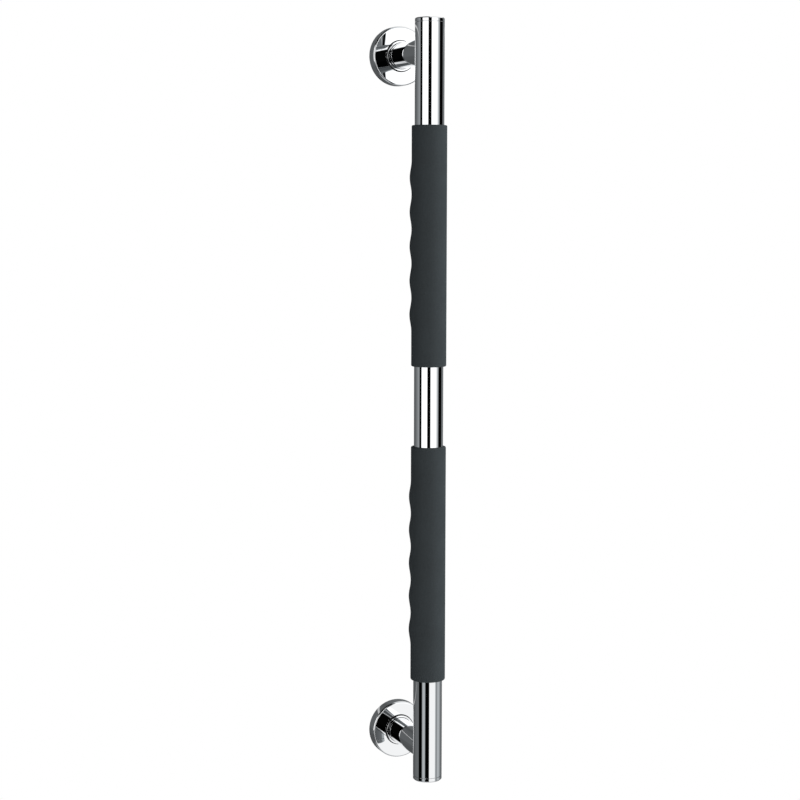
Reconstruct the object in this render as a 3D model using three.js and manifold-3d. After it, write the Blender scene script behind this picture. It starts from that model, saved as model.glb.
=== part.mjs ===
// Wall-mounted pull-up rail: a chrome bar with two soft grips, carried by two posts.
// Frame: millimetres, +Z up along the bar, +Y into the wall, so the front faces -Y.
// The origin is the centre of the lower wall bracket's back face, on the wall plane y = 0.

import * as THREE from "three";
import { mergeVertices } from "three/addons/utils/BufferGeometryUtils.js";
import Module from "manifold-3d";

const wasm = await Module();
wasm.setup();

// ---- Whole rail ----
const fixingCentres = 600; // between the two posts, and so between the two wall brackets
const barStandoff = 74; // wall to the bar's axis
const barOverhang = 27; // post axis to the bar's end
const touchGap = 0.3; // left between pieces that touch, slide or screw together

// ---- Bar and end caps ----
const barRadius = 12.5;
const barWall = 1.5;
const capHead = 3.5; // length of the cap that shows
const capSeam = 0.2; // open seam between the cap's head and the tube
const capSpigot = 9; // length of the cap inside the tube
const capWall = 2.5; // wall of the cap's hollow spigot, under its groove too
const capChamfer = 0.8;
const capRingSection = 1.7; // thickness of the cap's O-ring
const capRingInset = 3; // head's shoulder to the O-ring

// ---- Soft grips ----
const gripWall = 2.5;
const gripLength = 203.5;
const gripGap = 69; // bare bar between the two grips
const gripFit = 0.2; // between bar and grip
const gripEdge = 1; // chamfer at each end
const ridgeCount = 5; // finger ridges on the wall side
const ridgePitch = 29;
const ridgeRise = 3.2; // tallest point of a ridge, over the plain sleeve
const ridgeShift = 2.6; // how far a ridge's round outline is moved towards the wall
const ridgeSteps = 4; // facets along one pitch

// ---- Posts ----
const postRadius = 11.25;
const postEdge = 0.5; // chamfer at the wall end

// ---- Post bolt, lock washer and the nut inside the bar ----
const boltRadius = 4;
const boltHeadRadius = 6.5;
const boltHeadHeight = 8;
const boltChamfer = 0.6;
const boltPastAxis = 5; // bolt's tip past the bar's axis
const boltSocketFlats = 6; // across the flats of its hexagon socket
const boltSocketDepth = 4;
const washerThickness = 1.8;
const washerRim = 1; // washer to the post's bore
const washerSplit = 0.24; // angle of the split, in radians
const insertMargin = 1.5; // between the nut bar and the cap's spigot
const insertChamfer = 0.8;
const insertBoreSpare = 1; // bore beyond the bolt's tip

// ---- Wall brackets ----
const headClearance = 0.8; // bolt head to the post's bore, so the head passes
const plateThickness = 5;
const plateEdge = 0.6;
const spigotLength = 19;
const spigotTip = 0.6;
const keySpace = 5.9; // spigot's tip to the head of the post's bolt
const wallScrewCount = 3;
const wallScrewRadius = 2.75; // clearance hole for a 5 mm screw
const wallScrewHead = 5.2; // radius of the countersink's mouth

// ---- Grub screws ----
const grubRadius = 2.5;
const grubLand = 0.4; // post's end to the grub screw's hole
const grubSunk = 0.35; // below the post's surface, so that the rosette passes over
const grubCone = 1.2; // length and inset of its pointed end
const grubSocketFlats = 2.5;
const grubSocketDepth = 1.8;
const grubSeat = 0.8; // depth of the groove round the bracket's spigot

// ---- Rosettes ----
const rosetteRadius = 25.5;
const rosetteDepth = 10.5; // wall to the flat face
const rosetteWall = 1.5;
const rosetteRound = 1.5; // rounding between rim and face
const rosetteRear = 0.3; // wall to the rim's rear edge
const collarWall = 1.45; // lip round the post
const collarRise = 1.6; // lip over the face
const collarRound = 0.3;
const shadowWidth = 0.8; // narrow groove round the lip
const shadowDepth = 0.9;
const hubWall = 3.4; // hub inside the rosette, behind the lip
const hubLength = 1.8; // hub behind the inside of the face
const rosetteRingSection = 1; // thickness of its O-ring
const rosetteRingInset = 0.75; // face to the O-ring's middle
const ringFit = 0.15; // O-ring to each of the surfaces that it runs between
const ringSideFit = 0.25; // O-ring to each side of its groove

// ---- Facets and cutting tools ----
const cutSpare = 1; // how far a cutting tool runs past the face that it opens
const barSides = 32;
const gripSides = 24;
const boreSides = 16;
const screwSides = 16;
const ringSides = 6;
const roundSteps = 2; // facets of a rounded edge

// ---- Sizes that follow from those above ----
const tubeBore = barRadius - barWall;
const insertRadius = tubeBore - touchGap;
const insertHalf = barOverhang - capHead - capSpigot - insertMargin;
const gripRadius = barRadius + gripWall;
const gripOffset = (gripGap + gripLength) / 2;
const barMiddle = fixingCentres / 2;
const postBore = boltHeadRadius + headClearance;
const spigotRadius = postBore - touchGap;
const boltBore = boltRadius + touchGap;
const rosetteBore = postRadius + touchGap;
const collarRadius = rosetteBore + collarWall;
const plateRadius = rosetteRadius - rosetteWall - touchGap;
const postStart = plateThickness + touchGap;
const spigotEnd = plateThickness + spigotLength;
const boltHeadRear = spigotEnd + keySpace;
const boltHeadFront = boltHeadRear + boltHeadHeight;
const seatDepth = boltHeadFront + washerThickness + touchGap; // shoulder that the washer bears on
const grubBore = grubRadius + touchGap;
const grubDepth = postStart + grubLand + grubBore;
const wallScrewCircle = (postRadius + plateRadius) / 2; // radius of the circle the holes lie on
const rosetteRingDepth = rosetteDepth - rosetteRingInset;

// ---- Finishes ----
const chrome = new THREE.MeshStandardMaterial({ color: 0xdfe3e6, roughness: 0.06, metalness: 1 });
const softGrip = new THREE.MeshStandardMaterial({ color: 0x363f43, roughness: 0.8, metalness: 0 });
const sealRubber = new THREE.MeshStandardMaterial({ color: 0x161717, roughness: 0.7, metalness: 0 });
const castZinc = new THREE.MeshStandardMaterial({ color: 0xa3a7a8, roughness: 0.45, metalness: 1 });
const screwSteel = new THREE.MeshStandardMaterial({ color: 0xb4b2aa, roughness: 0.35, metalness: 1 });
const turnedBrass = new THREE.MeshStandardMaterial({ color: 0xc9a24e, roughness: 0.3, metalness: 1 });

// Welds a geometry into one closed surface whose faces point out.
function weld(geometry) {
  const bare = new THREE.BufferGeometry();
  bare.setAttribute("position", geometry.attributes.position.clone());
  if (geometry.index) bare.setIndex(geometry.index.clone());
  const merged = mergeVertices(bare, 1e-4);
  const corners = merged.index.array;
  const points = merged.attributes.position;
  const a = new THREE.Vector3();
  const b = new THREE.Vector3();
  const c = new THREE.Vector3();
  const kept = [];
  let volume = 0;
  for (let i = 0; i < corners.length; i += 3) {
    const [p, q, r] = corners.slice(i, i + 3);
    if (p === q || q === r || r === p) continue;
    kept.push([p, q, r]);
    a.fromBufferAttribute(points, p);
    b.fromBufferAttribute(points, q);
    c.fromBufferAttribute(points, r);
    volume += a.dot(b.cross(c));
  }
  const facing = volume < 0 ? kept.map(([p, q, r]) => [p, r, q]) : kept;
  merged.setIndex(facing.flat());
  merged.computeVertexNormals();
  return merged;
}

function toSolid(geometry) {
  const welded = weld(geometry);
  const vertProperties = new Float32Array(welded.attributes.position.array);
  const triVerts = new Uint32Array(welded.index.array);
  return new wasm.Manifold(new wasm.Mesh({ numProp: 3, vertProperties, triVerts }));
}

// Cuts each of the tools out of a geometry.
function cut(geometry, tools) {
  const solid = tools.reduce((rest, tool) => rest.subtract(toSolid(tool)), toSolid(geometry));
  const { vertProperties, triVerts } = solid.getMesh();
  const result = new THREE.BufferGeometry();
  result.setAttribute("position", new THREE.BufferAttribute(new Float32Array(vertProperties), 3));
  result.setIndex([...triVerts]);
  return weld(result);
}

// Turns a closed outline of [radius, distance] pairs about the Y axis. A distance is
// measured from the wall plane towards the front, which is -Y.
function turnedOnPost(outline, sides) {
  const points = outline.map(([radius, distance]) => new THREE.Vector2(radius, -distance));
  points.push(points[0].clone());
  return weld(new THREE.LatheGeometry(points, sides));
}

// Turns a closed outline of [radius, height] pairs about the Z axis.
function turnedOnBar(outline, sides) {
  const points = outline.map(([radius, height]) => new THREE.Vector2(radius, height));
  points.push(points[0].clone());
  return weld(new THREE.LatheGeometry(points, sides).rotateX(Math.PI / 2));
}

// A quarter round from [radius, distance] one way to the other, as outline points.
function quarterRound(centreRadius, centreDistance, size, fromAngle, toAngle) {
  return Array.from({ length: roundSteps + 1 }, (_, i) => {
    const angle = fromAngle + ((toAngle - fromAngle) * i) / roundSteps;
    return [centreRadius + size * Math.cos(angle), centreDistance + size * Math.sin(angle)];
  });
}

// A straight rod between two points, for bores and for hexagon sockets.
function rod(from, to, radius, sides) {
  const start = new THREE.Vector3(...from);
  const end = new THREE.Vector3(...to);
  const length = start.distanceTo(end);
  const turn = new THREE.Quaternion().setFromUnitVectors(
    new THREE.Vector3(0, 1, 0),
    end.clone().sub(start).normalize(),
  );
  const middle = start.add(end).multiplyScalar(0.5);
  const shape = new THREE.CylinderGeometry(radius, radius, length, sides);
  return shape.applyQuaternion(turn).translate(middle.x, middle.y, middle.z);
}

const acrossCorners = (flats) => flats / Math.sqrt(3); // corner radius of a hexagon

function barTube() {
  const end = barOverhang - capHead - capSeam;
  const tube = turnedOnBar([
    [tubeBore, -end],
    [barRadius, -end],
    [barRadius, fixingCentres + end],
    [tubeBore, fixingCentres + end],
  ], barSides);
  const holes = [0, fixingCentres].map((height) =>
    rod([0, -barStandoff, height], [0, 0, height], boltBore, boreSides).translate(0, barStandoff, 0));
  return cut(tube, holes);
}

// End cap for the bar's upper end. Its origin is the middle of its outer face.
function endCap() {
  const shoulder = -capHead;
  const tip = shoulder - capSpigot;
  const spigot = tubeBore - touchGap;
  const grooveFloor = tubeBore - capRingSection - 2 * ringFit;
  const grooveHalf = capRingSection / 2 + ringSideFit;
  const ringHeight = shoulder - capRingInset;
  const hollow = grooveFloor - capWall;
  return turnedOnBar([
    [0, 0],
    [barRadius - capChamfer, 0],
    [barRadius, -capChamfer],
    [barRadius, shoulder],
    [spigot, shoulder],
    [spigot, ringHeight + grooveHalf],
    [grooveFloor, ringHeight + grooveHalf],
    [grooveFloor, ringHeight - grooveHalf],
    [spigot, ringHeight - grooveHalf],
    [spigot, tip],
    [hollow, tip],
    [hollow, shoulder],
    [0, shoulder],
  ], barSides);
}

function capRing() {
  const middle = tubeBore - ringFit - capRingSection / 2;
  return weld(new THREE.TorusGeometry(middle, capRingSection / 2, ringSides, barSides));
}

// How far the grip stands proud of its plain sleeve, at an angle from the wall side and a
// height from the grip's middle. Each ridge is a round outline moved towards the wall.
function ridgeStand(angle, height) {
  if (Math.abs(height) >= (ridgeCount * ridgePitch) / 2) return 0;
  const ridgeRadius = gripRadius + ridgeRise - ridgeShift;
  const sideways = ridgeShift * Math.sin(angle);
  const outline = ridgeShift * Math.cos(angle) + Math.sqrt(ridgeRadius ** 2 - sideways ** 2);
  const swell = (1 + Math.cos((2 * Math.PI * height) / ridgePitch)) / 2;
  return swell * Math.max(0, outline - gripRadius);
}

// Grip with its origin at its middle, on the bar's axis.
function grip() {
  const half = gripLength / 2;
  const ridgeZone = (ridgeCount * ridgePitch) / 2;
  const rows = ridgeCount * ridgeSteps;
  const outside = Array.from({ length: rows + 1 }, (_, i) => [gripRadius, ((2 * i) / rows - 1) * ridgeZone]);
  const sleeve = turnedOnBar([
    [barRadius + gripFit, -half],
    [gripRadius - gripEdge, -half],
    [gripRadius, gripEdge - half],
    ...outside,
    [gripRadius, half - gripEdge],
    [gripRadius - gripEdge, half],
    [barRadius + gripFit, half],
  ], gripSides);
  const points = sleeve.attributes.position;
  for (let i = 0; i < points.count; i += 1) {
    const x = points.getX(i);
    const y = points.getY(i);
    const radius = Math.hypot(x, y);
    if (radius < gripRadius - gripEdge / 2) continue;
    const stretch = 1 + ridgeStand(Math.atan2(x, y), points.getZ(i)) / radius;
    points.setXY(i, x * stretch, y * stretch);
  }
  return weld(sleeve);
}

// Post with its origin on the wall plane, saddled to the bar at its front.
function post() {
  const body = turnedOnPost([
    [postBore, postStart],
    [postRadius - postEdge, postStart],
    [postRadius, postStart + postEdge],
    [postRadius, barStandoff],
    [boltBore, barStandoff],
    [boltBore, seatDepth],
    [postBore, seatDepth],
  ], barSides);
  const barSpace = rod(
    [0, -barStandoff, -2 * postRadius],
    [0, -barStandoff, 2 * postRadius],
    barRadius + touchGap,
    barSides,
  );
  const grubHole = rod(
    [0, -grubDepth, 0],
    [0, -grubDepth, -2 * postRadius],
    grubBore,
    screwSides,
  );
  return cut(body, [barSpace, grubHole]);
}

// Socket screw that pulls the bar onto the post, put in from the wall end.
function postBolt() {
  const tip = barStandoff + boltPastAxis;
  const blank = turnedOnPost([
    [0, boltHeadRear],
    [boltHeadRadius - boltChamfer, boltHeadRear],
    [boltHeadRadius, boltHeadRear + boltChamfer],
    [boltHeadRadius, boltHeadFront],
    [boltRadius, boltHeadFront],
    [boltRadius, tip - boltChamfer],
    [boltRadius - boltChamfer, tip],
    [0, tip],
  ], boreSides);
  const mouth = -(boltHeadRear - cutSpare);
  const floor = -(boltHeadRear + boltSocketDepth);
  return cut(blank, [rod([0, floor, 0], [0, mouth, 0], acrossCorners(boltSocketFlats), 6)]);
}

// Split spring washer between the bolt's head and the post's shoulder.
function lockWasher() {
  const inner = boltBore;
  const outer = postBore - washerRim;
  const shape = new THREE.Shape();
  shape.absarc(0, 0, outer, washerSplit / 2, 2 * Math.PI - washerSplit / 2, false);
  shape.absarc(0, 0, inner, 2 * Math.PI - washerSplit / 2, washerSplit / 2, true);
  const blank = new THREE.ExtrudeGeometry(shape, {
    depth: washerThickness,
    bevelEnabled: false,
    curveSegments: boreSides,
  });
  const rear = boltHeadFront + touchGap / 2;
  return weld(blank.rotateX(Math.PI / 2).translate(0, -rear, 0));
}

// Cross-bored nut bar inside the tube, which the post's bolt screws into.
function tubeInsert() {
  const body = turnedOnBar([
    [0, -insertHalf],
    [insertRadius - insertChamfer, -insertHalf],
    [insertRadius, insertChamfer - insertHalf],
    [insertRadius, insertHalf - insertChamfer],
    [insertRadius - insertChamfer, insertHalf],
    [0, insertHalf],
  ], barSides);
  const floor = -(boltPastAxis + insertBoreSpare);
  return cut(body, [rod([0, floor, 0], [0, barRadius, 0], boltBore, boreSides)]);
}

// Plate on the wall with the spigot that carries the post.
function wallBracket() {
  const grooveFloor = spigotRadius - grubSeat;
  const grooveHalf = grubRadius - grubCone + touchGap;
  const blank = turnedOnPost([
    [0, 0],
    [plateRadius, 0],
    [plateRadius, plateThickness - plateEdge],
    [plateRadius - plateEdge, plateThickness],
    [spigotRadius, plateThickness],
    [spigotRadius, grubDepth - grooveHalf - grubSeat],
    [grooveFloor, grubDepth - grooveHalf],
    [grooveFloor, grubDepth + grooveHalf],
    [spigotRadius, grubDepth + grooveHalf + grubSeat],
    [spigotRadius, spigotEnd - spigotTip],
    [spigotRadius - spigotTip, spigotEnd],
    [0, spigotEnd],
  ], barSides);
  const sinkDepth = wallScrewHead - wallScrewRadius;
  const hole = turnedOnPost([
    [0, -cutSpare],
    [wallScrewRadius, -cutSpare],
    [wallScrewRadius, plateThickness - sinkDepth],
    [wallScrewHead, plateThickness],
    [wallScrewHead, plateThickness + cutSpare],
    [0, plateThickness + cutSpare],
  ], boreSides);
  const holes = Array.from({ length: wallScrewCount }, (_, i) => {
    const angle = Math.PI / 2 + (2 * Math.PI * i) / wallScrewCount;
    return hole.clone().translate(wallScrewCircle * Math.cos(angle), 0, wallScrewCircle * Math.sin(angle));
  });
  return cut(blank, holes);
}

// Pointed grub screw, up through the post's underside into the spigot's groove.
function grubScrew() {
  const tip = spigotRadius - grubSeat + touchGap;
  const rear = postRadius - grubSunk;
  const blank = turnedOnBar([
    [0, -tip],
    [grubRadius - grubCone, -tip],
    [grubRadius, -tip - grubCone],
    [grubRadius, -rear],
    [0, -rear],
  ], screwSides);
  const mouth = -rear - cutSpare;
  const socket = rod([0, 0, mouth], [0, 0, grubSocketDepth - rear], acrossCorners(grubSocketFlats), 6);
  return cut(blank, [socket]).translate(0, -grubDepth, 0);
}

// Hollow cover over the bracket, which slides along the post.
function rosette() {
  const faceInside = rosetteDepth - rosetteWall;
  const hubRear = faceInside - hubLength;
  const lipFront = rosetteDepth + collarRise;
  const grooveFloor = postRadius + rosetteRingSection + 2 * ringFit;
  const grooveHalf = rosetteRingSection / 2 + ringSideFit;
  const rimInside = rosetteRadius - rosetteWall;
  return turnedOnPost([
    [rosetteRadius, rosetteRear],
    ...quarterRound(rosetteRadius - rosetteRound, rosetteDepth - rosetteRound, rosetteRound, 0, Math.PI / 2),
    [collarRadius + shadowWidth, rosetteDepth],
    [collarRadius + shadowWidth, rosetteDepth - shadowDepth],
    [collarRadius, rosetteDepth - shadowDepth],
    ...quarterRound(collarRadius - collarRound, lipFront - collarRound, collarRound, 0, Math.PI / 2),
    [rosetteBore, lipFront],
    [rosetteBore, rosetteRingDepth + grooveHalf],
    [grooveFloor, rosetteRingDepth + grooveHalf],
    [grooveFloor, rosetteRingDepth - grooveHalf],
    [rosetteBore, rosetteRingDepth - grooveHalf],
    [rosetteBore, hubRear],
    [rosetteBore + hubWall, hubRear],
    [rosetteBore + hubWall, faceInside],
    [rimInside, faceInside],
    [rimInside, rosetteRear],
  ], barSides);
}

// O-ring inside the rosette's collar, which holds the rosette where it is pushed.
function rosetteRing() {
  const middle = postRadius + ringFit + rosetteRingSection / 2;
  const ring = new THREE.TorusGeometry(middle, rosetteRingSection / 2, ringSides, barSides);
  return weld(ring.rotateX(Math.PI / 2).translate(0, -rosetteRingDepth, 0));
}

const rail = new THREE.Group();

function place(parent, name, geometry, finish) {
  const mesh = new THREE.Mesh(geometry, finish);
  mesh.name = name;
  parent.add(mesh);
  return mesh;
}

place(rail, "bar_tube", barTube(), chrome).position.set(0, -barStandoff, 0);

for (const end of [
  { name: "lower", height: 0, up: -1 },
  { name: "upper", height: fixingCentres, up: 1 },
]) {
  // What stands on the wall and on the post shares one origin, on the wall plane.
  const support = new THREE.Group();
  support.position.set(0, 0, end.height);
  rail.add(support);
  place(support, `${end.name}_wall_bracket`, wallBracket(), castZinc);
  place(support, `${end.name}_rosette`, rosette(), chrome);
  place(support, `${end.name}_rosette_o_ring`, rosetteRing(), sealRubber);
  place(support, `${end.name}_grub_screw`, grubScrew(), screwSteel);
  place(support, `${end.name}_post`, post(), chrome);
  place(support, `${end.name}_post_bolt`, postBolt(), screwSteel);
  place(support, `${end.name}_lock_washer`, lockWasher(), screwSteel);

  // What is on the bar.
  const insert = place(rail, `${end.name}_tube_insert`, tubeInsert(), turnedBrass);
  insert.position.set(0, -barStandoff, end.height);
  const sleeve = place(rail, `${end.name}_grip`, grip(), softGrip);
  sleeve.position.set(0, -barStandoff, barMiddle + end.up * gripOffset);

  // The cap is drawn for the upper end; the lower one is the same cap upside down.
  const capPlace = new THREE.Group();
  capPlace.position.set(0, -barStandoff, end.height + end.up * barOverhang);
  capPlace.rotation.x = end.up > 0 ? 0 : Math.PI;
  rail.add(capPlace);
  place(capPlace, `${end.name}_end_cap`, endCap(), chrome);
  place(capPlace, `${end.name}_cap_o_ring`, capRing(), sealRubber).position.z = -capHead - capRingInset;
}

export default rail;
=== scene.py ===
import math

import bpy
from mathutils import Matrix, Vector


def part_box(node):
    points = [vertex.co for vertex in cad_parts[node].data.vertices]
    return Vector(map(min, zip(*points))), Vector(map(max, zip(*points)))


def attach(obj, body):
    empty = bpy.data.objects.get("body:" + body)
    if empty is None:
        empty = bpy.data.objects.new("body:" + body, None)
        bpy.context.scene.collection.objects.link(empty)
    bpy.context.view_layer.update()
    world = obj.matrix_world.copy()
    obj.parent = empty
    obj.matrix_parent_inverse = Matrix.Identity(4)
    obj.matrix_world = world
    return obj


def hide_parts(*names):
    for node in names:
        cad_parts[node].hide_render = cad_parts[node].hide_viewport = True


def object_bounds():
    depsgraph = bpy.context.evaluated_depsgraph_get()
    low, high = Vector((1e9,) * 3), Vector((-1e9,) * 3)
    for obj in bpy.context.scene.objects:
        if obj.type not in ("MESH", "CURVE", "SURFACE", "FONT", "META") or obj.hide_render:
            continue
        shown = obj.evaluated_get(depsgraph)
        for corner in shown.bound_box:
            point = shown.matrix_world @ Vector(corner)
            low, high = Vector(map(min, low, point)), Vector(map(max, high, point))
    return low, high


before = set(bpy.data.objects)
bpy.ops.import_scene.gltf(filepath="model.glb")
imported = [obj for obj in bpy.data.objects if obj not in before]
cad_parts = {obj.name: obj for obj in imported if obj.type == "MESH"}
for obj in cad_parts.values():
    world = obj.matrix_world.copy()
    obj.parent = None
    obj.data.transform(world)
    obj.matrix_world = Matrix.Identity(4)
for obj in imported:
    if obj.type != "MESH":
        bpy.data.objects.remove(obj)  # places below come from the CAD nodes' boxes, in metres
cadLow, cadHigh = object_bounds()
print("frame loaded with", len(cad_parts), "nodes")

mm = 0.001
fullTurn = 2 * math.pi
upward = Vector((0, 0, 1))
toFront = Vector((0, -1, 0))  # out of the wall

tubeLow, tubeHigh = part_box("bar_tube")
barRadius = (tubeHigh.x - tubeLow.x) / 2 / mm
barMiddle = (tubeLow + tubeHigh) / 2
plateLow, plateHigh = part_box("lower_wall_bracket")
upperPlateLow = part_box("upper_wall_bracket")[0]
# where the lower post's axis meets the wall
wallPoint = Vector((0, plateHigh.y, (plateLow.z + plateHigh.z) / 2))
toUpper = Vector((0, 0, upperPlateLow.z - plateLow.z))  # lower fixing to upper fixing
barPoint = Vector((0, barMiddle.y, wallPoint.z))  # where that axis meets the bar's axis
standoff = (wallPoint - barPoint).length / mm


def selectNothing():
    if bpy.context.mode != "OBJECT":
        bpy.ops.object.mode_set(mode="OBJECT")
    bpy.ops.object.select_all(action="DESELECT")


def selectOnly(piece):
    selectNothing()
    piece.select_set(True)
    bpy.context.view_layer.objects.active = piece


def applyModifier(piece, kind, **settings):
    selectOnly(piece)
    modifier = piece.modifiers.new(kind.title(), kind)
    for key, value in settings.items():
        setattr(modifier, key, value)
    bpy.ops.object.modifier_apply(modifier=modifier.name)


def shadePiece(piece, sharpAngle=34):
    # smooth over the rounded edges, with flat faces kept flat
    selectOnly(piece)
    bpy.ops.object.shade_smooth_by_angle(angle=math.radians(sharpAngle))
    applyModifier(piece, "WEIGHTED_NORMAL", mode="FACE_AREA", weight=50, keep_sharp=True)


def softened(outline, arcStep=13):
    # a corner given as (radius, distance, rounding) becomes an arc of that size
    points = []
    for i, corner in enumerate(outline):
        here = Vector(corner[:2])
        if len(corner) < 3:
            points.append(here)
            continue
        before = (Vector(outline[i - 1][:2]) - here).normalized()
        after = (Vector(outline[(i + 1) % len(outline)][:2]) - here).normalized()
        half = before.angle(after) / 2
        middle = here + (before + after).normalized() * corner[2] / math.sin(half)
        start = here + before * corner[2] / math.tan(half) - middle
        end = here + after * corner[2] / math.tan(half) - middle
        fromAngle = math.atan2(start.y, start.x)
        turn = math.atan2(end.y, end.x) - fromAngle
        turn = (turn + math.pi) % fullTurn - math.pi
        steps = max(3, round(math.degrees(abs(turn)) / arcStep))
        for j in range(steps + 1):
            angle = fromAngle + turn * j / steps
            points.append(middle + corner[2] * Vector((math.cos(angle), math.sin(angle))))
    return points


def turnPiece(name, outline, centre, along, steps=160):
    # one vertex is extruded round an outline of radii and distances in millimetres, then spun
    places = [centre + (Vector((1, 0, 0)) * p.x + along * p.y) * mm for p in softened(outline)]
    if outline[0][0] > 0:
        places.append(places[0])  # an outline off the axis closes on itself
    selectNothing()
    bpy.ops.mesh.primitive_plane_add(size=mm)
    piece = bpy.context.object
    piece.name = piece.data.name = name
    bpy.ops.object.mode_set(mode="EDIT")
    bpy.ops.mesh.select_all(action="SELECT")
    bpy.ops.mesh.merge(type="CENTER")
    bpy.ops.transform.translate(value=places[0])
    for here, there in zip(places, places[1:]):
        bpy.ops.mesh.extrude_region_move(TRANSFORM_OT_translate={"value": there - here})
    bpy.ops.mesh.select_all(action="SELECT")
    bpy.ops.mesh.remove_doubles(threshold=mm / 1000)
    bpy.ops.mesh.spin(steps=steps, angle=fullTurn, center=centre, axis=along)
    bpy.ops.mesh.select_all(action="SELECT")
    bpy.ops.mesh.remove_doubles(threshold=mm / 1000)
    bpy.ops.mesh.normals_make_consistent(inside=False)
    bpy.ops.object.mode_set(mode="OBJECT")
    return piece


def rod(radius, start, end, sides):
    # cutting tool between two points, its first corner to the side
    selectNothing()
    turn = (end - start).to_track_quat("Z", "Y").to_euler()
    bpy.ops.mesh.primitive_cylinder_add(
        vertices=sides, radius=radius * mm, depth=(end - start).length,
        location=(start + end) / 2, rotation=turn)
    return bpy.context.object


def cutWith(piece, tools):
    for tool in tools:
        applyModifier(piece, "BOOLEAN", operation="DIFFERENCE", object=tool, solver="EXACT")
        bpy.data.objects.remove(tool)


def copyTo(piece, name, shift):
    # a copy with its own mesh, moved in its vertices
    twin = piece.copy()
    twin.data = piece.data.copy()
    twin.name = twin.data.name = name
    bpy.context.scene.collection.objects.link(twin)
    selectOnly(twin)
    bpy.ops.transform.translate(value=shift)
    bpy.ops.object.transform_apply(location=True, rotation=True, scale=True)
    return twin


# where a thread's crest ends and its root starts and ends, as shares of the pitch
threadShape = {"crestEnd": 0.2, "rootStart": 0.55, "rootEnd": 0.65}


def threadRings(crest, root, start, end, pitch):
    # outline points of a screw thread, cut as close rings
    count = int(abs(end - start) / pitch)
    step = math.copysign(pitch, end - start)
    points = []
    for i in range(count):
        here = start + i * step
        points += [(crest, here), (crest, here + threadShape["crestEnd"] * step)]
        points += [(root, here + threadShape[edge] * step) for edge in ("rootStart", "rootEnd")]
    return points + [(crest, start + count * step)]


def addNode(tree, kind, inputs=None, **settings):
    # a node whose inputs are numbers, colours or other nodes' outputs
    node = tree.nodes.new("ShaderNode" + kind)
    for key, value in settings.items():
        setattr(node, key, value)
    for key, value in (inputs or {}).items():
        if isinstance(value, bpy.types.NodeSocket):
            tree.links.new(value, node.inputs[key])
        else:
            node.inputs[key].default_value = value
    return node


def calculate(tree, operation, *values):
    return addNode(tree, "Math", dict(enumerate(values)), operation=operation).outputs[0]


def weighted(tree, first, firstShare, second, secondShare):
    first = calculate(tree, "MULTIPLY", first, firstShare)
    return calculate(tree, "ADD", first, calculate(tree, "MULTIPLY", second, secondShare))


def noise(tree, vector, scale, detail=3, roughness=0.55):
    inputs = {"Vector": vector, "Scale": scale, "Detail": detail, "Roughness": roughness}
    return addNode(tree, "TexNoise", inputs).outputs[0]


def remap(tree, value, fromLow, fromHigh, toLow=0, toHigh=1):
    inputs = {
        "Value": value, "From Min": fromLow, "From Max": fromHigh, "To Min": toLow, "To Max": toHigh}
    return addNode(tree, "MapRange", inputs).outputs[0]


def stretched(tree, vector, scale):
    return addNode(tree, "Mapping", {"Vector": vector, "Scale": scale}).outputs[0]


def tint(tree, factor, dark, light):
    # between two colours, each given as numbers or as another node's output
    inputs = {0: factor}
    for index, value in ((6, dark), (7, light)):
        inputs[index] = value if isinstance(value, bpy.types.NodeSocket) else (*value, 1)
    return addNode(tree, "Mix", inputs, data_type="RGBA").outputs[2]


def newGroup(name, inputs, outputs):
    group = bpy.data.node_groups.new(name, "ShaderNodeTree")
    for label, value in inputs.items():
        kind = "NodeSocketVector" if value is None else "NodeSocketFloat"
        socket = group.interface.new_socket(label, in_out="INPUT", socket_type=kind)
        if value is not None:
            socket.default_value = value
    for label in outputs:
        group.interface.new_socket(label, in_out="OUTPUT", socket_type="NodeSocketFloat")
    entry = group.nodes.new("NodeGroupInput")
    leave = group.nodes.new("NodeGroupOutput")
    return group, entry.outputs, leave.inputs


def useGroup(tree, group, inputs):
    return addNode(tree, "Group", inputs, node_tree=group).outputs


def polishWearGroup():
    # smudges, hairline scratches and dust on a polished or machined metal
    group, given, out = newGroup(
        "polishWear",
        {"Coordinates": None, "Smudge Scale": 20, "Scratch Scale": 300, "Scratch Share": 0.5},
        ["Haze", "Scratches", "Dust"])
    place = given["Coordinates"]
    smudge = remap(group, noise(group, place, given["Smudge Scale"], 5, 0.6), 0.46, 0.74)
    lengthwise = noise(group, stretched(group, place, (1, 1, 0.05)), given["Scratch Scale"], 2)
    crosswise = noise(group, stretched(group, place, (0.08, 0.5, 1)), given["Scratch Scale"], 2)
    lines = []
    for pattern in (lengthwise, crosswise):
        offset = calculate(group, "ABSOLUTE", calculate(group, "SUBTRACT", pattern, 0.5))
        lines.append(remap(group, offset, 0.0, 0.006, 1, 0))
    patches = remap(group, noise(group, place, 55, 2), 0.52, 0.7)
    line = calculate(group, "MULTIPLY", calculate(group, "MAXIMUM", *lines), patches)
    line = calculate(group, "MULTIPLY", line, given["Scratch Share"])
    cells = addNode(group, "TexVoronoi", {"Vector": place, "Scale": 420}, feature="F1")
    speck = remap(group, cells.outputs["Distance"], 0.05, 0.11, 1, 0)
    rare = addNode(group, "SeparateColor", {"Color": cells.outputs["Color"]}).outputs[0]
    dust = calculate(group, "MULTIPLY", speck, calculate(group, "GREATER_THAN", rare, 0.985))
    group.links.new(smudge, out["Haze"])
    group.links.new(line, out["Scratches"])
    group.links.new(dust, out["Dust"])
    return group


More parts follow.
